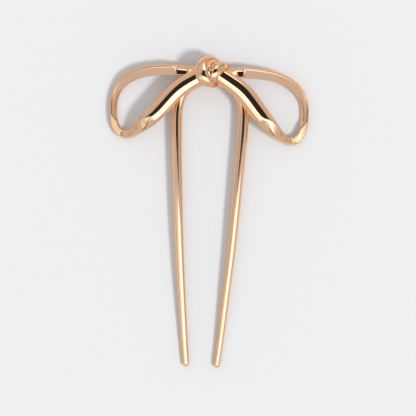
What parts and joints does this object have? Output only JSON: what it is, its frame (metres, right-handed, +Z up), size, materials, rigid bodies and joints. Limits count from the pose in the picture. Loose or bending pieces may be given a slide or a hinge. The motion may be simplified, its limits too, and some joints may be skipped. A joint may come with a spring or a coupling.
{
  "type": "french hair pin",
  "caption": "Two-pronged hair pin in polished metal: a tapering U-shaped rod with a tied bow of rounded band across its closed end.",
  "frame": {"origin": "on the table, in the middle of the pin's box, with the pin lying face up", "axes": "+X to the right across the bow, +Y from the tips of the prongs to the knot, +Z up, out of the bow's face"},
  "size_m": [0.077, 0.12, 0.0124],
  "materials": {
    "rod_metal": "polished, light rose gold plating",
    "bow_metal": "polished, light rose gold plating"
  },
  "bodies": {
    "root": {"pin_fork": "rod_metal", "left_loop": "bow_metal", "right_loop": "bow_metal", "knot": "bow_metal"}
  },
  "joints": []
}
